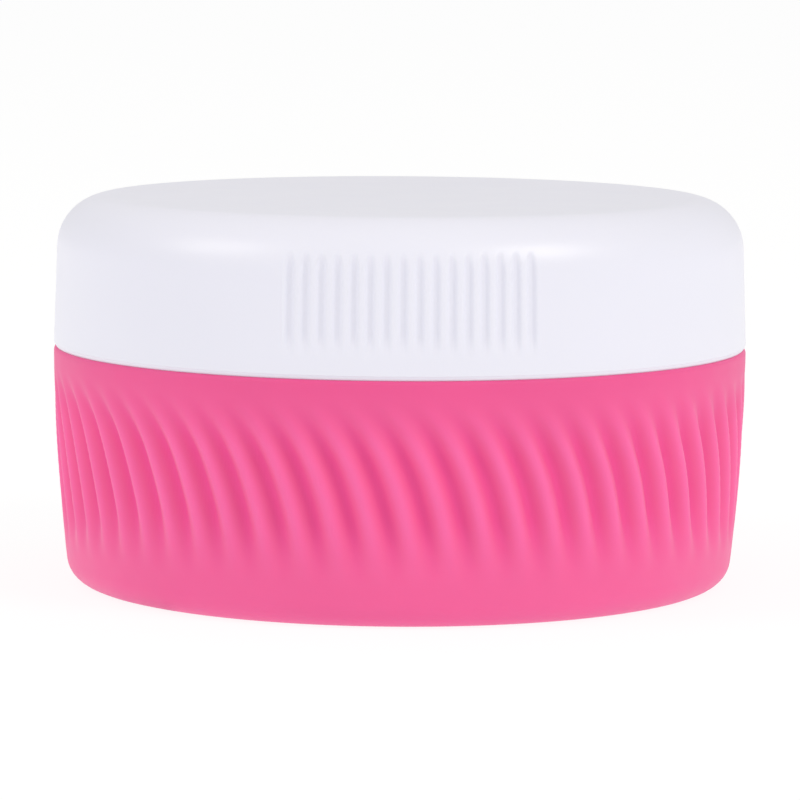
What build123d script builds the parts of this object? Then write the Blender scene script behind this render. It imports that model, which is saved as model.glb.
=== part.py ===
from build123d import *
from math import cos, radians, sin, sqrt, tan
import os

# Low travel jar for creams: a soft grooved silicone cup, a rigid neck held in its mouth,
# a loose sealing ring and a screw lid with finger flutes.
# Millimetres. Z = 0 is the surface that the jar stands on, and +Z is up through the lid.
# The front, with one of the groups of flutes, faces -Y. Turns go from -Y towards +X.

# Whole jar
jar_diameter = 53.0
cup_height = 18.3
lid_height = 11.3
seam_gap = 0.12

# Soft cup
cup_base_draw = 0.95
cup_base_corner = 2.0
cup_wall = 2.6
cup_floor = 2.8
cup_inner_corner = 2.0
cup_rim_round = 0.3
cup_wall_steps = 2
foot_ring_width = 5.55
foot_recess_depth = 0.6

# Leaning grooves of the cup, each the bite of a wedge-shaped bar bent to a shallow arc
groove_count = 60
groove_depth = 1.0
groove_width = 2.3
groove_floor_width = 0.6
groove_top_drop = 1.1
groove_foot_rise = 2.2
groove_run = 5.7
groove_bow = 1.4
groove_spans = 5
groove_phase_degrees = 1.35

# Rigid neck, its notched flange and the lip of the cup that it sits on
thread_room = 1.1
neck_wall = 1.6
neck_depth = 4.4
neck_lip_round = 0.4
neck_fit = 0.05
flange_reach = 1.4
flange_thickness = 1.2
notch_count = 12
notch_width = 3.0
notch_depth = 1.0
seat_width = 2.2
seat_height = 1.0
seat_slope = 1.8

# Screw lid
lid_draft_degrees = 2.0
lid_shoulder_round = 3.9
lid_wall = 2.2
lid_roof = 2.2
lid_edge_round = 0.4
lid_inner_corner = 1.0
plug_gap = 0.8
plug_wall = 0.9
plug_height = 2.6
bead_reach = 0.3
bead_height = 0.9

# Finger flutes of the lid
flutes_per_turn = 140
flutes_per_group = 16
flute_groups = 2
flute_width = 0.86
flute_depth = 0.3
flute_foot_rise = 1.9

# Sealing ring
gasket_thickness = 1.5
gasket_width = 2.05
gasket_fit = 0.15

# How far a cutting shape passes the face that it opens, and how far off a wall a bar ends
overrun = 1.0
bar_end_clearance = 0.06

# The round front of a flute's bar is this many flat strips, over a little more than the part that bites
flute_bar_strips = 3
flute_bar_spread_degrees = 76

# A small round is one flat that touches it, and a large one has two narrower flats beside that
first_flat_share = 1 - tan(radians(22.5))
second_flat_share = tan(radians(22.5)) - tan(radians(11.25))

# Heights
rim_z = cup_height - seam_gap / 2
lid_edge_z = cup_height + seam_gap / 2
lid_top_z = cup_height + lid_height
lid_underside_z = lid_top_z - lid_roof
neck_top_z = lid_underside_z - gasket_thickness
neck_foot_z = cup_height - neck_depth
flange_top_z = neck_foot_z + flange_thickness
seat_foot_z = neck_foot_z - seat_height
slope_foot_z = seat_foot_z - seat_slope

# Diameters. The lid's wall goes down over the neck with room for the threads, and the plug into it.
cup_base_diameter = jar_diameter - 2 * cup_base_draw
foot_recess_diameter = cup_base_diameter - 2 * foot_ring_width
lid_bore = jar_diameter - 2 * lid_wall
neck_diameter = lid_bore - 2 * thread_room
neck_bore = neck_diameter - 2 * neck_wall
plug_diameter = neck_bore - 2 * plug_gap

# Radii
jar_radius = jar_diameter / 2
foot_recess_radius = foot_recess_diameter / 2
lid_bore_radius = lid_bore / 2
neck_radius = neck_diameter / 2
neck_bore_radius = neck_bore / 2
flange_radius = neck_radius + flange_reach
seat_radius = flange_radius - seat_width
plug_radius = plug_diameter / 2
gasket_bore_radius = plug_radius + gasket_fit
gasket_radius = gasket_bore_radius + gasket_width

# The cup's wall is an arc, upright at the seam and drawn in towards the base
wall_drop = cup_height - cup_base_corner
wall_arc_radius = (wall_drop ** 2 + cup_base_draw ** 2) / (2 * cup_base_draw)


def cup_radius(z):
    """Radius of the cup's outer wall at a height, with no groove."""
    return jar_radius - wall_arc_radius + sqrt(wall_arc_radius ** 2 - (cup_height - z) ** 2)


def lid_radius(z):
    """Radius of the lid's drafted outer wall at a height, with no flute."""
    return jar_radius - (z - lid_edge_z) * tan(radians(lid_draft_degrees))


def outer_corner(face, row):
    """The widest corner of an outline in its lowest row of corners, 0, or its highest, -1."""
    return face.vertices().group_by(Axis.Y)[row].sort_by(Axis.X)[-1]


def small_round(corners, radius):
    """Round corners of an outline, each with the flat that touches the round at its middle."""
    return chamfer(corners, radius * first_flat_share)


def large_round(corner, radius):
    """Round a corner of an outline with three flats that touch the round."""
    face = small_round(corner, radius)
    return chamfer(face.vertices().sort_by_distance(corner)[:2], radius * second_flat_share)


def turned(outline):
    """Solid of revolution of an outline that gives radius and height."""
    return revolve(Plane.XZ * outline, Axis.Z)


def bar(stations, section):
    """Bar of one section, ruled from station to station down a wall.

    A station gives its turn from the front, the wall's radius, the height and the depth of bite.
    The section gives how far each corner lies across the bar and out from its deepest face.
    """
    faces = []
    for turn, wall_radius, z, bite in stations:
        outward = Vector(sin(turn), -cos(turn), 0)
        across = Vector(cos(turn), sin(turn), 0)
        deepest = outward * (wall_radius - bite) + Vector(0, 0, z)
        corners = [deepest + across * side + outward * out for side, out in section]
        faces.append(make_face(Polyline(*corners, close=True)))
    return loft(faces, ruled=True)


def key_blocks(clearance):
    """Blocks that fill the flange's notches, smaller by a clearance at the sides and inside."""
    inner = flange_radius - notch_depth + clearance
    block = Box(
        flange_radius + overrun - inner,
        notch_width - 2 * clearance,
        flange_thickness + 2 * overrun,
        align=(Align.MIN, Align.CENTER, Align.MIN),
    )
    return [place * Pos(inner, 0, neck_foot_z - overrun) * block for place in PolarLocations(0, notch_count)]


def cup_blank():
    """Outside of the cup: arched wall in straight steps, rounded base and rim, shallow recess."""
    heights = [rim_z * step / cup_wall_steps for step in range(cup_wall_steps + 1)]
    outline = Polyline(
        (0, rim_z),
        (0, foot_recess_depth),
        (foot_recess_radius - foot_recess_depth, foot_recess_depth),
        (foot_recess_radius, 0),
        *[(cup_radius(z), z) for z in heights],
        close=True,
    )
    face = large_round(outer_corner(make_face(outline), 0), cup_base_corner)
    return turned(small_round(outer_corner(face, -1), cup_rim_round))


def cup_hollow():
    """Space in the cup: the cavity, the lip that carries the neck, and the neck's keyed socket."""
    cavity_radius = cup_radius(cup_floor) - cup_wall
    socket_radius = flange_radius + neck_fit
    throat_radius = neck_radius + neck_fit
    outline = Polyline(
        (0, cup_floor),
        (cavity_radius, cup_floor),
        (cavity_radius, slope_foot_z),
        (seat_radius, seat_foot_z),
        (seat_radius, neck_foot_z),
        (socket_radius, neck_foot_z),
        (socket_radius, flange_top_z),
        (throat_radius, flange_top_z),
        (throat_radius, rim_z + overrun),
        (0, rim_z + overrun),
        close=True,
    )
    return turned(small_round(outer_corner(make_face(outline), 0), cup_inner_corner)) - key_blocks(neck_fit)


def groove_bar():
    """Bent bar that bites the wall most at half its length and leaves it at both ends."""
    drop = cup_height - groove_top_drop - groove_foot_rise
    stations = []
    for span in range(groove_spans + 1):
        share = span / groove_spans
        from_middle = 2 * share - 1
        z = cup_height - groove_top_drop - share * drop
        around = groove_run / 2 * from_middle - groove_bow * from_middle ** 2
        bite = groove_depth - (groove_depth + bar_end_clearance) * from_middle ** 2
        stations.append((around / jar_radius, cup_radius(z), z, bite))
    floor_half = groove_floor_width / 2
    back_half = floor_half + (groove_width - groove_floor_width) / 2 * (groove_depth + overrun) / groove_depth
    back = groove_depth + overrun
    wedge = [(-floor_half, 0), (floor_half, 0), (back_half, back), (-back_half, back)]
    return Rot(Z=groove_phase_degrees) * bar(stations, wedge)


def silicone_body():
    """The grooved cup. It is cut in two sets, every other groove at a time."""
    cutter = groove_bar()
    body = cup_blank() - cup_hollow()
    for first in (0, 1):
        body -= [Rot(Z=index * 360 / groove_count) * cutter for index in range(first, groove_count, 2)]
    return body


def neck_ring():
    """Rigid neck: a tube with a notched flange at its foot, keyed into the soft cup."""
    outline = Polyline(
        (neck_bore_radius, neck_foot_z),
        (flange_radius, neck_foot_z),
        (flange_radius, flange_top_z),
        (neck_radius, flange_top_z),
        (neck_radius, neck_top_z),
        (neck_bore_radius, neck_top_z),
        close=True,
    )
    lip_corners = make_face(outline).vertices().group_by(Axis.Y)[-1]
    return turned(small_round(lip_corners, neck_lip_round)) - key_blocks(0)


def lid_gasket():
    """Flat sealing ring between the neck's lip and the lid's roof."""
    ring = Cylinder(gasket_radius, gasket_thickness) - Cylinder(gasket_bore_radius, gasket_thickness)
    return Pos(0, 0, neck_top_z + gasket_thickness / 2) * ring


def lid_shell():
    """Lid with no flutes: drafted wall, round shoulder and flat roof, rounded inside as well."""
    outer = Polyline(
        (0, lid_edge_z),
        (jar_radius, lid_edge_z),
        (lid_radius(lid_top_z), lid_top_z),
        (0, lid_top_z),
        close=True,
    )
    face = large_round(outer_corner(make_face(outer), -1), lid_shoulder_round)
    face = small_round(outer_corner(face, 0), lid_edge_round)
    inner = Polyline(
        (0, lid_edge_z - overrun),
        (lid_bore_radius, lid_edge_z - overrun),
        (lid_bore_radius, lid_underside_z),
        (0, lid_underside_z),
        close=True,
    )
    hollow = small_round(outer_corner(make_face(inner), -1), lid_inner_corner)
    return turned(face) - turned(hollow)


def plug_ring():
    """Ring under the roof that enters the neck. The bead at its foot keeps the sealing ring."""
    foot_z = lid_underside_z - plug_height
    outline = Polyline(
        (plug_radius - plug_wall, foot_z),
        (plug_radius, foot_z),
        (plug_radius + bead_reach, foot_z + bead_height / 2),
        (plug_radius, foot_z + bead_height),
        (plug_radius, lid_underside_z),
        (plug_radius - plug_wall, lid_underside_z),
        close=True,
    )
    return turned(make_face(outline))


def flute_bar():
    """Bar that leans with the front of the lid's wall and runs out in its shoulder."""
    radius = (flute_width ** 2 / 4 + flute_depth ** 2) / (2 * flute_depth)
    front = []
    for strip in range(flute_bar_strips + 1):
        angle = radians(flute_bar_spread_degrees) * (2 * strip / flute_bar_strips - 1)
        front.append((radius * sin(angle), radius - radius * cos(angle)))
    back = [(side, out + overrun) for side, out in (front[-1], front[0])]
    foot_z = cup_height + flute_foot_rise
    full_z = foot_z + flute_width / 2
    stations = [
        (0, lid_radius(lid_top_z), lid_top_z, flute_depth),
        (0, lid_radius(full_z), full_z, flute_depth),
        (0, lid_radius(foot_z), foot_z, -bar_end_clearance),
    ]
    return bar(stations, front + back)


def lid():
    """The screw lid with its groups of finger flutes, spread evenly round it from the front."""
    cutter = flute_bar()
    first = -(flutes_per_group - 1) / 2 * 360 / flutes_per_turn
    body = lid_shell() + plug_ring()
    for group in range(flute_groups):
        start = group * 360 / flute_groups + first
        body -= [Rot(Z=start + index * 360 / flutes_per_turn) * cutter for index in range(flutes_per_group)]
    return body


pieces = {
    "silicone_body": silicone_body,
    "neck_ring": neck_ring,
    "lid_gasket": lid_gasket,
    "lid": lid,
}

os.makedirs("parts", exist_ok=True)
for name, make in pieces.items():
    export_step(make(), f"parts/{name}.step")
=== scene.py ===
import bmesh
import bpy
from math import asin, atan2, cos, degrees, hypot, pi, radians, sin, sqrt, tan
from mathutils import Matrix, Vector


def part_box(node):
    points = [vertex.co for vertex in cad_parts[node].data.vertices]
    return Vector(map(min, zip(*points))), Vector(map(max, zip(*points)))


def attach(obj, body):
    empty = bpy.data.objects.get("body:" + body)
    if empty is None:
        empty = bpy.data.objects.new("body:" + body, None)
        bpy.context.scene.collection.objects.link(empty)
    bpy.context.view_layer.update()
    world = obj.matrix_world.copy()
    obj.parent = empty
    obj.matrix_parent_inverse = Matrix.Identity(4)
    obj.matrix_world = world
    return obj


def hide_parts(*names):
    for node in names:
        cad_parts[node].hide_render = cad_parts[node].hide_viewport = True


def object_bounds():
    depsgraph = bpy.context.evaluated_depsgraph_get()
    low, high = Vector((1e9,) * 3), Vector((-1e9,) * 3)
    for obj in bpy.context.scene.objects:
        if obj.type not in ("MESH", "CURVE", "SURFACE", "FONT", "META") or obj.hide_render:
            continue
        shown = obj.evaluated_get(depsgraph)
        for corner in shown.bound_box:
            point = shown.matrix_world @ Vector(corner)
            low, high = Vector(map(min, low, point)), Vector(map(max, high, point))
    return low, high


# A low travel jar for creams: a pink soft silicone cup with leaning waves, and a white screw lid.
# Lengths are metres, written as millimetres times mm. The front is at -Y and a turn goes to +X.
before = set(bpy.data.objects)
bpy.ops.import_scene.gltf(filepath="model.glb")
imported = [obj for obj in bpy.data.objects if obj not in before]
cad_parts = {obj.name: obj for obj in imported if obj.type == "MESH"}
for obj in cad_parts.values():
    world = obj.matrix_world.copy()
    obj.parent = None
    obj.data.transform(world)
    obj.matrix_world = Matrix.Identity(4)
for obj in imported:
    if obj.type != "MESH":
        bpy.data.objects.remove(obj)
cad_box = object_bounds()


# The stand. A flat sheet of white paper carries the jar, in a white room that fills in the
# shadows, with a softbox at the left and a stronger one at the right front. The camera stands
# low in front with a long lens, as in the photograph. Its dip and roll are in radians.
mm = 0.001
camera_distance = 360.77 * mm
camera_height = 54.48 * mm
camera_turn = radians(-1.7)
camera_dip = 0.11222
camera_roll = 0.00603
camera_lens = 212.38
camera_sensor = 36.0
camera_shift = 0.000625
nearest_seen = 0.01
farthest_seen = 60.0
paper_reach = 12.0
paper_z = -0.01 * mm
paper_tone = 0.15
paper_glow = 0.87
fibre_height = 0.1 * mm
room_glow = 0.72
softbox_distance = 0.9
softbox_side = 0.35
softbox_tint = (1.0, 0.955, 0.85)
white = (1.0, 1.0, 1.0)
jar_middle = (cad_box[0] + cad_box[1]) / 2

camera_data = bpy.data.cameras.new("camera")
camera_data.lens = camera_lens
camera_data.sensor_width = camera_sensor
camera_data.shift_x = camera_shift
camera_data.clip_start = nearest_seen
camera_data.clip_end = farthest_seen
camera = bpy.data.objects.new("camera", camera_data)
bpy.context.scene.collection.objects.link(camera)
camera_x = camera_distance * sin(camera_turn)
camera_y = -camera_distance * cos(camera_turn)
camera.matrix_world = (
    Matrix.Translation((camera_x, camera_y, camera_height))
    @ Matrix.Rotation(camera_turn, 4, "Z")
    @ Matrix.Rotation(pi / 2 - camera_dip, 4, "X")
    @ Matrix.Rotation(camera_roll, 4, "Z")
)
bpy.context.scene.camera = camera
bpy.context.scene.view_settings.view_transform = "Standard"


def node_in(tree, kind, **settings):
    """A new node in a tree, with its settings. A setting named after a socket fills that socket."""
    node = tree.nodes.new(kind)
    for name, value in settings.items():
        socket = next((s for s in node.inputs if s.name.replace(" ", "_").lower() == name), None)
        if socket is None:
            setattr(node, name, value)
        elif isinstance(value, bpy.types.NodeSocket):
            tree.links.new(value, socket)
        else:
            socket.default_value = value
    return node


def new_material(name):
    """An empty node material, its tree and its output."""
    material = bpy.data.materials.new(name)
    material.use_nodes = True
    material.node_tree.nodes.clear()
    return material, material.node_tree, material.node_tree.nodes.new("ShaderNodeOutputMaterial")


def seamless_paper():
    """White paper that glows enough to leave only a faint shadow under the jar."""
    material, tree, output = new_material("seamless_paper")
    place = node_in(tree, "ShaderNodeTexCoord").outputs["Object"]
    fibre = node_in(tree, "ShaderNodeTexNoise", vector=place, scale=900.0, detail=4.0)
    bump = node_in(
        tree,
        "ShaderNodeBump",
        height=fibre.outputs["Fac"],
        strength=0.05,
        distance=fibre_height,
    )
    diffuse = node_in(
        tree,
        "ShaderNodeBsdfDiffuse",
        color=(paper_tone, paper_tone, paper_tone, 1.0),
        normal=bump.outputs[0],
    )
    glow = node_in(tree, "ShaderNodeEmission", color=(*white, 1.0), strength=paper_glow)
    both = tree.nodes.new("ShaderNodeAddShader")
    tree.links.new(diffuse.outputs[0], both.inputs[0])
    tree.links.new(glow.outputs[0], both.inputs[1])
    tree.links.new(both.outputs[0], output.inputs["Surface"])
    return material


world = bpy.data.worlds.new("white_room")
world.use_nodes = True
room = world.node_tree.nodes["Background"]
room.inputs["Color"].default_value = (*white, 1.0)
room.inputs["Strength"].default_value = room_glow
bpy.context.scene.world = world

paper_mesh = bpy.data.meshes.new("paper")
paper_corners = [
    (x * paper_reach, y * paper_reach, paper_z) for x, y in [(-1, -1), (1, -1), (1, 1), (-1, 1)]
]
paper_mesh.from_pydata(paper_corners, [], [(0, 1, 2, 3)])
paper = bpy.data.objects.new("paper", paper_mesh)
paper_mesh.materials.append(seamless_paper())
bpy.context.scene.collection.objects.link(paper)


def softbox(name, turn, rise, watts):
    """A square soft light that faces the jar, at a turn from the front and a rise in degrees."""
    data = bpy.data.lights.new(name, "AREA")
    data.shape = "SQUARE"
    data.size = softbox_side
    data.energy = watts
    data.color = softbox_tint
    light = bpy.data.objects.new(name, data)
    turn, rise = radians(turn), radians(rise)
    place = softbox_distance * Vector((sin(turn) * cos(rise), -cos(turn) * cos(rise), sin(rise)))
    facing = (jar_middle - place).to_track_quat("-Z", "Y").to_matrix().to_4x4()
    light.matrix_world = Matrix.Translation(place) @ facing
    bpy.context.scene.collection.objects.link(light)


softbox("left_softbox", turn=-72, rise=36, watts=1.5)
softbox("right_softbox", turn=52, rise=38, watts=2.15)


# The cup. It is moulded in one piece from soft pink silicone, with sixty leaning waves in its
# side that fade out above and below. A neck of hard plastic is pressed in at its mouth.
neck_low, neck_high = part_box("neck_ring")
jar_radius = 26.5 * mm
seam_z = 18.3 * mm
lid_foot_z = seam_z - 0.17 * mm
cup_rim_z = lid_foot_z - 0.005 * mm
base_draw = 0.95 * mm
base_round = 2.0 * mm
seam_round = 0.45 * mm
seam_turn = 50
throat_round = 0.15 * mm
foot_recess_radius = 20.0 * mm
foot_recess_depth = 0.6 * mm
cup_floor_z = 2.8 * mm
cup_wall = 2.6 * mm
cavity_corner = 1.17 * mm
neck_fit = 0.05 * mm
neck_foot_z = neck_low.z
neck_radius = 23.2 * mm
neck_bore_radius = 21.6 * mm
flange_radius = 24.6 * mm
flange_top_z = neck_foot_z + 1.2 * mm
seat_radius = 22.4 * mm
seat_foot_z = neck_foot_z - 1.0 * mm
slope_foot_z = seat_foot_z - 1.8 * mm
notch_count = 12
notch_width = 3.0 * mm
notch_depth = 1.0 * mm
notch_floor_radius = flange_radius - notch_depth

wave_count = 60
wave_depth = 0.8 * mm
wave_shift = 4.187 * mm
wave_sweep = 7.581 * mm
wave_settle = 6.954 * mm
wave_top_start = 1.2 * mm
wave_top_full = 6.4 * mm
wave_foot_full = 9.8 * mm
wave_foot_end = 15.7 * mm
wave_rows = 74
columns_per_wave = 12
cup_skin = 1.6 * mm

full_turn = 2 * pi
crisp_angle = radians(38)
wall_drop = seam_z - base_round
wall_arc_radius = (wall_drop ** 2 + base_draw ** 2) / (2 * base_draw)


def cup_radius(z):
    """Radius of the cup's side at a height, without waves."""
    return jar_radius - wall_arc_radius + sqrt(wall_arc_radius ** 2 - (seam_z - z) ** 2)


def even(low, high, steps):
    """Evenly spaced numbers, both ends among them."""
    return [low + (high - low) * step / steps for step in range(steps + 1)]


def round_corner(centre, radius, first, last, steps):
    """Points of an arc in an outline of radius and height, its angles in degrees."""
    turns = [radians(a) for a in even(first, last, steps)]
    return [(centre[0] + radius * cos(a), centre[1] + radius * sin(a)) for a in turns]


def turned_piece(name, outline, turns, closed=False):
    """A mesh turned from an outline of radius and height. The turns say where its columns are."""
    vertices = []
    rings = []
    for radius, z in outline:
        if radius == 0:
            # One point in the middle serves the whole ring, and its faces are triangles.
            rings.append([len(vertices)] * len(turns))
            vertices.append((0, 0, z))
        else:
            rings.append(list(range(len(vertices), len(vertices) + len(turns))))
            vertices.extend((radius * sin(turn), -radius * cos(turn), z) for turn in turns)
    faces = []
    pairs = list(zip(rings, rings[1:])) + ([(rings[-1], rings[0])] if closed else [])
    for low, high in pairs:
        for here in range(len(turns)):
            after = (here + 1) % len(turns)
            corners = (low[here], low[after], high[after], high[here])
            faces.append(tuple(dict.fromkeys(corners)))
    mesh = bpy.data.meshes.new(name)
    mesh.from_pydata(vertices, [], faces)
    mesh.validate()
    mesh.shade_smooth()
    mesh.set_sharp_from_angle(angle=crisp_angle)
    piece = bpy.data.objects.new(name, mesh)
    bpy.context.scene.collection.objects.link(piece)
    return piece


def cut_notches(piece, edge_radius, floor_radius, width):
    """Points at the flange's edge that lie where a notch is move in to the notch's floor."""
    pitch = full_turn / notch_count
    hair = 0.01 * mm
    for vertex in piece.data.vertices:
        radius = hypot(vertex.co.x, vertex.co.y)
        turn = atan2(vertex.co.y, vertex.co.x)
        nearest_notch = round(turn / pitch) * pitch
        at_edge = abs(radius - edge_radius) < hair
        if at_edge and abs(sin(turn - nearest_notch)) * radius < width / 2:
            vertex.co.x *= floor_radius / radius
            vertex.co.y *= floor_radius / radius


class Formula:
    """A number in a node tree, so that the rule a shape follows is written as a formula."""

    def __init__(self, tree, socket):
        self.tree = tree
        self.socket = socket

    def made(self, operation, *terms):
        """What a math node makes of these terms."""
        node = self.tree.nodes.new("ShaderNodeMath")
        node.operation = operation
        for socket, term in zip(node.inputs, terms):
            if isinstance(term, Formula):
                self.tree.links.new(term.socket, socket)
            else:
                socket.default_value = term
        return Formula(self.tree, node.outputs[0])

    def __add__(self, other):
        return self.made("ADD", self, other)

    def __sub__(self, other):
        return self.made("SUBTRACT", self, other)

    def __rsub__(self, other):
        return self.made("SUBTRACT", other, self)

    def __mul__(self, other):
        return self.made("MULTIPLY", self, other)

    def __truediv__(self, other):
        return self.made("DIVIDE", self, other)

    def __rtruediv__(self, other):
        return self.made("DIVIDE", other, self)

    def smooth(self, low, high):
        """Nothing below low, one above high, and a smooth rise between them."""
        node = self.tree.nodes.new("ShaderNodeMapRange")
        node.interpolation_type = "SMOOTHSTEP"
        for name, term in (("Value", self), ("From Min", low), ("From Max", high)):
            if isinstance(term, Formula):
                self.tree.links.new(term.socket, node.inputs[name])
            else:
                node.inputs[name].default_value = term
        return Formula(self.tree, node.outputs[0])


class ShapeTree:
    """A tree of geometry nodes that shapes a piece, with a named input for each of its sizes."""

    def __init__(self, name, sizes):
        self.tree = bpy.data.node_groups.new(name, "GeometryNodeTree")
        new_socket = self.tree.interface.new_socket
        new_socket("Geometry", in_out="INPUT", socket_type="NodeSocketGeometry")
        self.sockets = {
            size: new_socket(size, in_out="INPUT", socket_type="NodeSocketFloat") for size in sizes
        }
        self.sockets["Material"] = new_socket(
            "Material", in_out="INPUT", socket_type="NodeSocketMaterial"
        )
        new_socket("Geometry", in_out="OUTPUT", socket_type="NodeSocketGeometry")
        self.start = self.tree.nodes.new("NodeGroupInput")
        self.size = {size: Formula(self.tree, self.start.outputs[size]) for size in sizes}

    def place(self):
        """Each point's turn from the front, radius and height."""
        position = node_in(self.tree, "GeometryNodeInputPosition")
        parts = node_in(self.tree, "ShaderNodeSeparateXYZ", vector=position.outputs[0])
        x, y, z = [Formula(self.tree, socket) for socket in parts.outputs]
        return x.made("ARCTAN2", x, 0.0 - y), x.made("SQRT", x * x + y * y), z

    def to_radius(self, turn, radius, z):
        """Geometry with its points moved to these radii."""
        across = turn.made("SINE", turn) * radius
        ahead = 0.0 - turn.made("COSINE", turn) * radius
        moved = node_in(
            self.tree, "ShaderNodeCombineXYZ", x=across.socket, y=ahead.socket, z=z.socket
        )
        return node_in(
            self.tree,
            "GeometryNodeSetPosition",
            geometry=self.start.outputs["Geometry"],
            position=moved.outputs[0],
        ).outputs[0]

    def keep(self, name, value, geometry):
        """Geometry that keeps a number for each point, under a name that a material can read."""
        return node_in(
            self.tree,
            "GeometryNodeStoreNamedAttribute",
            data_type="FLOAT",
            domain="POINT",
            geometry=geometry,
            name=name,
            value=value.socket,
        ).outputs[0]

    def end_with(self, geometry):
        """Realize the instances, set the material and hand the geometry out."""
        real = node_in(self.tree, "GeometryNodeRealizeInstances", geometry=geometry)
        finish = node_in(
            self.tree,
            "GeometryNodeSetMaterial",
            geometry=real.outputs[0],
            material=self.start.outputs["Material"],
        )
        self.tree.links.new(finish.outputs[0], self.tree.nodes.new("NodeGroupOutput").inputs[0])


def shape(piece, shape_tree, sizes, material):
    """Give a piece the tree's shape for these sizes, as a plain mesh."""
    modifier = piece.modifiers.new("shape", "NODES")
    modifier.node_group = shape_tree.tree
    for name, value in {**sizes, "Material": material}.items():
        modifier[shape_tree.sockets[name].identifier] = value
    evaluated = piece.evaluated_get(bpy.context.evaluated_depsgraph_get())
    mesh = bpy.data.meshes.new_from_object(evaluated)
    piece.modifiers.remove(modifier)
    piece.data = mesh
    mesh.name = piece.name


def leaning_waves():
    """Waves round a side. Their crests stay on the side, and lean over as they go down."""
    waves = ShapeTree(
        "leaning_waves",
        [
            "Count", "Depth", "Side radius", "Rim height", "Shift", "Sweep", "Settle",
            "Top start", "Top full", "Foot full", "Foot end", "Skin",
        ],
    )
    size = waves.size
    turn, radius, z = waves.place()
    down = size["Rim height"] - z
    lean = size["Shift"] - size["Sweep"] * down.made("EXPONENT", 0.0 - down / size["Settle"])
    around = turn * size["Side radius"] - lean
    swing = around.made("COSINE", around / size["Side radius"] * size["Count"])
    fade_in = down.smooth(size["Top start"], size["Top full"])
    fade_out = 1.0 - down.smooth(size["Foot full"], size["Foot end"])
    is_side = radius.made("GREATER_THAN", radius, size["Side radius"] - size["Skin"])
    fade = fade_in * fade_out * is_side
    dent = (1.0 - swing) * 0.5 * fade * size["Depth"]
    moved = waves.to_radius(turn, radius - dent, z)
    # The swing kept here also drives the painted highlight on the crests and the painted shade in
    # the troughs.
    waves.end_with(waves.keep("swing", swing * fade * 0.5 + 0.5, moved))
    return waves


def fine_bump(tree, place, grain, height):
    """A bump of fine grain, as the face of a mould leaves it."""
    noise = node_in(tree, "ShaderNodeTexNoise", vector=place, scale=1.0 / grain, detail=3.0)
    return node_in(
        tree, "ShaderNodeBump", height=noise.outputs["Fac"], strength=1.0, distance=height
    ).outputs[0]


def wandering(tree, place, scale, detail, low, high):
    """A number that wanders from low to high over a surface."""
    noise = node_in(tree, "ShaderNodeTexNoise", vector=place, scale=scale, detail=detail)
    return node_in(
        tree,
        "ShaderNodeMapRange",
        value=noise.outputs["Fac"],
        from_min=0.3,
        from_max=0.7,
        to_min=low,
        to_max=high,
    ).outputs[0]


def ramp(tree, value, *stops):
    """Colours along a value, from stops of a place and a colour."""
    node = node_in(tree, "ShaderNodeValToRGB", fac=value)
    elements = node.color_ramp.elements
    while len(elements) < len(stops):
        elements.new(0.5)
    for element, (position, colour) in zip(elements, stops):
        element.position = position
        element.color = (*colour, 1.0)
    return node.outputs[0]


def tinted(tree, colour, tint):
    """A colour times a tint."""
    node = tree.nodes.new("ShaderNodeMix")
    node.data_type = "RGBA"
    node.blend_type = "MULTIPLY"
    node.inputs["Factor"].default_value = 1.0
    for name, socket in (("A", colour), ("B", tint)):
        tree.links.new(socket, next(s for s in node.inputs if s.name == name and s.type == "RGBA"))
    return next(s for s in node.outputs if s.type == "RGBA")


# Painted light on the waves: the crests are painted paler as a highlight, and the troughs darker as
# shade.
pink_trough_painted_shade = (0.86, 0.071, 0.30)
pink_plain = (0.90, 0.113, 0.33)
pink_crest_painted_highlight = (0.955, 0.139, 0.392)
# Painted shade: the pink is made darker towards the rim, from the foot height below up to the seam.
rim_painted_shade = (0.934, 0.77, 0.88)
rim_painted_shade_foot_z = 13.0 * mm
cloud_shade = (0.97, 0.97, 0.97)
silicone_grain = 0.12 * mm
silicone_grain_height = 0.002 * mm
silicone_roughness = (0.56, 0.66)


def soft_silicone():
    """Pink silicone with a dry face, with a painted highlight on the crests, painted shade in the
    troughs and painted shade near the rim.
    """
    material, tree, output = new_material("soft_silicone")
    place = node_in(tree, "ShaderNodeTexCoord").outputs["Object"]
    swing = node_in(tree, "ShaderNodeAttribute", attribute_name="swing").outputs["Fac"]
    height = node_in(tree, "ShaderNodeSeparateXYZ", vector=place).outputs["Z"]
    to_rim = node_in(
        tree, "ShaderNodeMapRange", value=height, from_min=rim_painted_shade_foot_z, from_max=seam_z
    )
    cloud = node_in(
        tree, "ShaderNodeTexNoise", vector=place, scale=90.0, detail=3.0, roughness=0.6
    )
    # Painted highlight on the crests and painted shade in the troughs, by the wave's swing.
    tone = ramp(tree, swing, (0.0, pink_trough_painted_shade), (0.5, pink_plain), (1.0, pink_crest_painted_highlight))
    # Painted shade, darker towards the rim.
    tone = tinted(tree, tone, ramp(tree, to_rim.outputs[0], (0.0, white), (1.0, rim_painted_shade)))
    clouds = ramp(tree, cloud.outputs["Fac"], (0.35, cloud_shade), (0.65, white))
    shader = node_in(
        tree,
        "ShaderNodeBsdfPrincipled",
        base_color=tinted(tree, tone, clouds),
        roughness=wandering(tree, place, 420.0, 4.0, *silicone_roughness),
        normal=fine_bump(tree, place, silicone_grain, silicone_grain_height),
        ior=1.41,
        subsurface_weight=0.12,
        subsurface_radius=(1.0, 0.35, 0.5),
        subsurface_scale=0.9 * mm,
        sheen_weight=0.12,
        sheen_roughness=0.5,
    )
    tree.links.new(shader.outputs[0], output.inputs["Surface"])
    return material


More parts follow.
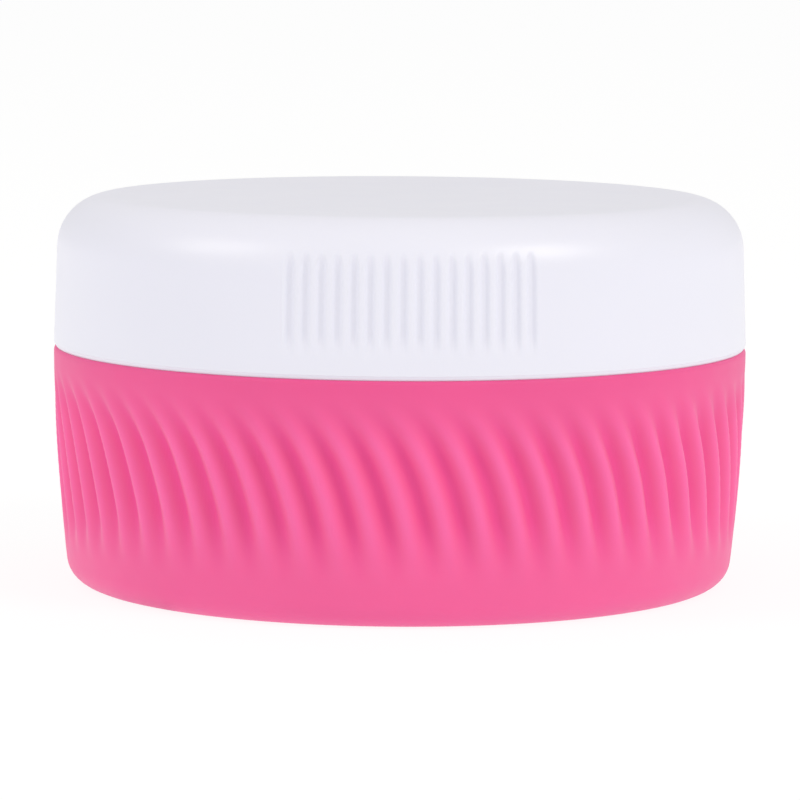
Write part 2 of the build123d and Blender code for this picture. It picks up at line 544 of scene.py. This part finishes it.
def cup_outline():
    """The cup's outline from the middle underneath, up the side and down inside to its floor."""
    slope = asin(wall_drop / wall_arc_radius)
    side_foot_z = base_round * (1 - sin(slope))
    corner_x = cup_radius(side_foot_z) - base_round * cos(slope)
    cavity_radius = cup_radius(cup_floor_z) - cup_wall
    cavity_centre = (cavity_radius - cavity_corner, cup_floor_z + cavity_corner)
    socket_radius = flange_radius + neck_fit
    throat_radius = neck_radius + neck_fit
    throat_centre = (throat_radius + throat_round, cup_rim_z - throat_round)
    recess_foot = foot_recess_radius - foot_recess_depth
    rim_foot_z = cup_rim_z - seam_round * sin(radians(seam_turn))
    rim_x = cup_radius(rim_foot_z) - seam_round
    return [
        (0, foot_recess_depth),
        (recess_foot / 2, foot_recess_depth),
        (recess_foot, foot_recess_depth),
        (foot_recess_radius, 0),
        *round_corner((corner_x, base_round), base_round, -90, -degrees(slope), steps=9)[:-1],
        *[(cup_radius(z), z) for z in even(side_foot_z, rim_foot_z, wave_rows)],
        *round_corner((rim_x, rim_foot_z), seam_round, 0, seam_turn, steps=7)[1:],
        *round_corner(throat_centre, throat_round, 90, 180, steps=3),
        (throat_radius, flange_top_z),
        (socket_radius, flange_top_z),
        (socket_radius, neck_foot_z),
        (seat_radius, neck_foot_z),
        (seat_radius, seat_foot_z),
        (cavity_radius, slope_foot_z),
        *round_corner(cavity_centre, cavity_corner, 0, -90, steps=5),
        (0, cup_floor_z),
    ]


columns = wave_count * columns_per_wave
even_turns = [full_turn * column / columns for column in range(columns)]
cup = turned_piece("cup", cup_outline(), even_turns)
cut_notches(
    cup, flange_radius + neck_fit, notch_floor_radius + neck_fit, notch_width - 2 * neck_fit
)
shape(
    cup,
    leaning_waves(),
    {
        "Count": float(wave_count),
        "Depth": wave_depth,
        "Side radius": jar_radius,
        "Rim height": seam_z,
        "Shift": wave_shift,
        "Sweep": wave_sweep,
        "Settle": wave_settle,
        "Top start": wave_top_start,
        "Top full": wave_top_full,
        "Foot full": wave_foot_full,
        "Foot end": wave_foot_end,
        "Skin": cup_skin,
    },
    soft_silicone(),
)
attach(cup, "jar")
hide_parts("silicone_body")


# The neck. A hard plastic ring, moulded with a double screw thread and a notched flange at its
# foot. The flange sits in a groove inside the cup's mouth, and the cup's keys fill its notches.
neck_lip_round = 0.4 * mm
thread_height = 0.8 * mm
thread_base = 1.5 * mm
thread_crest = 0.6 * mm
thread_root = 0.1 * mm
thread_lead = 6.0 * mm
thread_starts = 2
thread_turns = 200 / 360
thread_points = 96
thread_foot_z = seam_z + 1.65 * mm

plastic_flow_shade = 0.985
plastic_grain = 0.2 * mm
plastic_grain_height = 0.0008 * mm
plastic_gloss_spread = 0.03


def moulded_plastic(name, colour, roughness, translucence):
    """Satin plastic or dull silicone, with the faint unevenness of its flow and a fine grain."""
    material, tree, output = new_material(name)
    place = node_in(tree, "ShaderNodeTexCoord").outputs["Object"]
    flow = node_in(tree, "ShaderNodeTexNoise", vector=place, scale=55.0, detail=2.0, roughness=0.5)
    shaded = [plastic_flow_shade * part for part in colour]
    dullest, glossiest = roughness + plastic_gloss_spread, roughness - plastic_gloss_spread
    shader = node_in(
        tree,
        "ShaderNodeBsdfPrincipled",
        base_color=ramp(tree, flow.outputs["Fac"], (0.3, shaded), (0.7, colour)),
        roughness=wandering(tree, place, 260.0, 3.0, glossiest, dullest),
        normal=fine_bump(tree, place, plastic_grain, plastic_grain_height),
        ior=1.49,
        subsurface_weight=translucence,
        subsurface_radius=(1.0, 0.95, 0.9),
        subsurface_scale=1.2 * mm,
    )
    tree.links.new(shader.outputs[0], output.inputs["Surface"])
    return material


def screw_thread():
    """Raised threads: for each start a bar with sloping sides along a helix, cut off square."""
    thread = ShapeTree(
        "screw_thread",
        [
            "Wall radius", "Foot height", "First turn", "Turns", "Lead", "Starts",
            "Height", "Base", "Crest", "Root",
        ],
    )
    tree, size = thread.tree, thread.size
    helix = node_in(
        tree,
        "GeometryNodeCurveSpiral",
        resolution=thread_points,
        rotations=size["Turns"].socket,
        start_radius=size["Wall radius"].socket,
        end_radius=size["Wall radius"].socket,
        height=(size["Lead"] * size["Turns"]).socket,
        reverse=True,
    )
    upright = node_in(tree, "GeometryNodeSetCurveNormal", mode="Z_UP", curve=helix.outputs[0])
    root_half, crest_half = size["Base"] * 0.5, size["Crest"] * 0.5
    corners = (
        (size["Root"], root_half),
        (size["Root"], 0.0 - root_half),
        (size["Height"], 0.0 - crest_half),
        (size["Height"], crest_half),
    )
    section = node_in(tree, "GeometryNodeCurvePrimitiveQuadrilateral", mode="POINTS")
    for number, (reach, half) in enumerate(corners, 1):
        corner = node_in(tree, "ShaderNodeCombineXYZ", x=reach.socket, y=half.socket)
        tree.links.new(corner.outputs[0], section.inputs[f"Point {number}"])
    bar = node_in(
        tree,
        "GeometryNodeCurveToMesh",
        curve=upright.outputs[0],
        profile_curve=section.outputs[0],
        fill_caps=True,
    )
    starts = node_in(tree, "GeometryNodePoints", count=size["Starts"].socket)
    which = Formula(tree, node_in(tree, "GeometryNodeInputIndex").outputs[0])
    start_turn = size["First turn"] + which * full_turn / size["Starts"]
    spin = node_in(tree, "ShaderNodeCombineXYZ", z=start_turn.socket)
    foot = node_in(tree, "ShaderNodeCombineXYZ", z=size["Foot height"].socket)
    at_foot = node_in(
        tree, "GeometryNodeSetPosition", geometry=starts.outputs[0], position=foot.outputs[0]
    )
    placed = node_in(
        tree,
        "GeometryNodeInstanceOnPoints",
        points=at_foot.outputs[0],
        instance=bar.outputs[0],
        rotation=spin.outputs[0],
    )
    thread.end_with(placed.outputs[0])
    return thread


def thread_piece(name, wall_radius, foot_z, first_turn, height, root, material):
    """A piece that holds one set of threads, with its faces turned outwards."""
    piece = bpy.data.objects.new(name, bpy.data.meshes.new(name))
    bpy.context.scene.collection.objects.link(piece)
    shape(
        piece,
        threads,
        {
            "Wall radius": wall_radius,
            "Foot height": foot_z,
            "First turn": first_turn,
            "Turns": thread_turns,
            "Lead": thread_lead,
            "Starts": float(thread_starts),
            "Height": height,
            "Base": thread_base,
            "Crest": thread_crest,
            "Root": root,
        },
        material,
    )
    loose = bmesh.new()
    loose.from_mesh(piece.data)
    bmesh.ops.recalc_face_normals(loose, faces=loose.faces)
    loose.to_mesh(piece.data)
    loose.free()
    return piece


def neck_outline():
    """The neck's outline, all the way round from the foot of its bore."""
    bore_x = neck_bore_radius + neck_lip_round
    side_x = neck_radius - neck_lip_round
    lip_z = neck_high.z - neck_lip_round
    return [
        (neck_bore_radius, neck_foot_z),
        (flange_radius, neck_foot_z),
        (flange_radius, flange_top_z),
        (neck_radius, flange_top_z),
        *round_corner((side_x, lip_z), neck_lip_round, 0, 90, steps=6),
        *round_corner((bore_x, lip_z), neck_lip_round, 90, 180, steps=6),
    ]


threads = screw_thread()
neck_plastic = moulded_plastic(
    "neck_plastic", (0.83, 0.84, 0.86), roughness=0.3, translucence=0.15
)
neck = turned_piece("neck", neck_outline(), even_turns, closed=True)
cut_notches(neck, flange_radius, notch_floor_radius, notch_width)
neck.data.materials.append(neck_plastic)
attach(neck, "jar")
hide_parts("neck_ring")

neck_thread = thread_piece(
    "neck_thread",
    wall_radius=neck_radius,
    foot_z=thread_foot_z,
    first_turn=0.0,
    height=thread_height,
    root=-thread_root,
    material=neck_plastic,
)
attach(neck_thread, "jar")


# The sealing ring. It is stamped from soft white silicone sheet, pushed over the lid's plug and
# held there by the plug's bead, so that it comes off with the lid.
seal_low, seal_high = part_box("lid_gasket")
seal_bore_radius = 20.95 * mm
seal_edge_round = 0.12 * mm


def seal_outline():
    """The ring's outline, all the way round from the foot of its bore."""
    inner = seal_bore_radius + seal_edge_round
    outer = seal_high.x - seal_edge_round
    foot = seal_low.z + seal_edge_round
    top = seal_high.z - seal_edge_round
    return [
        *round_corner((inner, foot), seal_edge_round, 180, 270, steps=3),
        *round_corner((outer, foot), seal_edge_round, 270, 360, steps=3),
        *round_corner((outer, top), seal_edge_round, 0, 90, steps=3),
        *round_corner((inner, top), seal_edge_round, 90, 180, steps=3),
    ]


seal_silicone = moulded_plastic(
    "seal_silicone", (0.78, 0.79, 0.80), roughness=0.55, translucence=0.35
)
seal = turned_piece("seal", seal_outline(), even_turns[::2], closed=True)
seal.data.materials.append(seal_silicone)
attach(seal, "seal")
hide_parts("lid_gasket")


# The lid. It is moulded from white polypropylene with a satin face, and has two groups of fine
# upright flutes for the finger and the thumb. Inside are its threads and a plug for the mouth.
lid_low, lid_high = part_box("lid")
lid_draft = radians(2.0)
lid_edge_draw = 0.05 * mm
shoulder_round = 3.9 * mm
lid_bore_radius = 24.3 * mm
lid_bore_chamfer = 0.2 * mm
lid_inner_corner = 1.0 * mm
lid_underside_z = seal_high.z
lid_top_rings = (0.97, 0.5)
plug_radius = 20.8 * mm
plug_wall = 0.9 * mm
plug_height = 2.6 * mm
bead_reach = 0.3 * mm
bead_height = 0.9 * mm
lid_thread_drop = 1.2 * mm
lid_thread_lag = radians(33)
lid_thread_height = 0.85 * mm

flutes_per_turn = 140
flutes_per_group = 16
flute_groups = 2
flute_half_width = 0.49 * mm
flute_floor = 0.10 * mm
flute_depth = 0.25 * mm
flute_foot_z = seam_z + 1.2 * mm
flute_full_z = seam_z + 3.3 * mm
flute_pitch = full_turn / flutes_per_turn
columns_per_flute = 14
columns_between_groups = 90
lid_skin = 1.7 * mm


def lid_side(z):
    """Radius of the lid's drafted side at a height."""
    return jar_radius - (z - lid_low.z) * tan(lid_draft)


def finger_flutes():
    """Upright flutes in groups. Each deepens from its foot up and runs out in the shoulder."""
    flutes = ShapeTree(
        "finger_flutes",
        [
            "Per turn", "In group", "Groups", "Half width", "Floor", "Depth",
            "Foot height", "Full height", "Side radius", "Side height", "Draft", "Skin",
        ],
    )
    size = flutes.size
    turn, radius, z = flutes.place()
    pitch = full_turn / size["Per turn"]
    half_group = pi / size["Groups"]
    in_group = turn.made("WRAP", turn, half_group, 0.0 - half_group)
    first = (1.0 - size["In group"]) * 0.5 * pitch
    index = in_group.made("ROUND", (in_group - first) / pitch)
    index = index.made("MAXIMUM", index.made("MINIMUM", index, size["In group"] - 1.0), 0.0)
    across = (in_group - first - index * pitch) * size["Side radius"]
    apart = across.made("ABSOLUTE", across)
    dent = size["Depth"] * (1.0 - apart.smooth(size["Floor"], size["Half width"]))
    dent = dent * z.smooth(size["Foot height"], size["Full height"])
    side = size["Side radius"] - (z - size["Side height"]) * size["Draft"]
    is_side = radius.made("GREATER_THAN", radius, size["Side radius"] - size["Skin"])
    bitten = radius.made("MINIMUM", radius, side - dent)
    flutes.end_with(flutes.to_radius(turn, radius + (bitten - radius) * is_side, z))
    return flutes


def lid_outline():
    """The lid's outline from the middle of its underside, round the plug and wall to its top."""
    plug_foot_z = lid_underside_z - plug_height
    plug_bore = plug_radius - plug_wall
    inner_corner = (lid_bore_radius - lid_inner_corner, lid_underside_z - lid_inner_corner)
    edge_x = jar_radius - lid_edge_draw - seam_round
    edge_top_z = lid_foot_z + seam_round * sin(radians(seam_turn))
    shoulder_z = lid_high.z - shoulder_round
    shoulder_foot_z = shoulder_z + shoulder_round * sin(lid_draft)
    shoulder_x = lid_side(shoulder_foot_z) - shoulder_round * cos(lid_draft)
    shoulder_centre = (shoulder_x, shoulder_z)
    heights = [
        *even(edge_top_z, flute_foot_z, steps=3)[:-1],
        *even(flute_foot_z, flute_full_z, steps=10),
        *even(flute_full_z, shoulder_foot_z, steps=8)[1:],
    ]
    return [
        (0, lid_underside_z),
        (plug_bore / 2, lid_underside_z),
        (plug_bore, lid_underside_z),
        (plug_bore, plug_foot_z),
        (plug_radius, plug_foot_z),
        (plug_radius + bead_reach, plug_foot_z + bead_height / 2),
        (plug_radius, plug_foot_z + bead_height),
        (plug_radius, lid_underside_z),
        *round_corner(inner_corner, lid_inner_corner, 90, 0, steps=6),
        (lid_bore_radius, lid_foot_z + lid_bore_chamfer),
        (lid_bore_radius + lid_bore_chamfer, lid_foot_z),
        *round_corner((edge_x, edge_top_z), seam_round, -seam_turn, 0, steps=7)[:-1],
        *[(lid_side(z), z) for z in heights],
        *round_corner(shoulder_centre, shoulder_round, degrees(lid_draft), 90, steps=22)[1:],
        *[(shoulder_x * share, lid_high.z) for share in lid_top_rings],
        (0, lid_high.z),
    ]


def lid_turns():
    """Where the lid's columns are: close together in each group of flutes, wider between them."""
    turns = []
    group_pitch = full_turn / flute_groups
    half_group = (flutes_per_group + 1) / 2 * flute_pitch
    columns_in_group = (flutes_per_group + 1) * columns_per_flute
    for group in range(flute_groups):
        middle = group * group_pitch
        next_start = middle + group_pitch - half_group
        turns += even(middle - half_group, middle + half_group, columns_in_group)[:-1]
        turns += even(middle + half_group, next_start, columns_between_groups)[:-1]
    return turns


lid_plastic = moulded_plastic("lid_plastic", (0.82, 0.82, 0.92), roughness=0.34, translucence=0.1)
lid = turned_piece("screw_lid", lid_outline(), lid_turns())
shape(
    lid,
    finger_flutes(),
    {
        "Per turn": float(flutes_per_turn),
        "In group": float(flutes_per_group),
        "Groups": float(flute_groups),
        "Half width": flute_half_width,
        "Floor": flute_floor,
        "Depth": flute_depth,
        "Foot height": flute_foot_z,
        "Full height": flute_full_z,
        "Side radius": jar_radius,
        "Side height": lid_low.z,
        "Draft": tan(lid_draft),
        "Skin": lid_skin,
    },
    lid_plastic,
)
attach(lid, "lid")
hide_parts("lid")

lid_thread = thread_piece(
    "lid_thread",
    wall_radius=lid_bore_radius,
    foot_z=thread_foot_z - lid_thread_drop + thread_lead * lid_thread_lag / full_turn,
    first_turn=lid_thread_lag,
    height=-lid_thread_height,
    root=thread_root,
    material=lid_plastic,
)
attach(lid_thread, "lid")
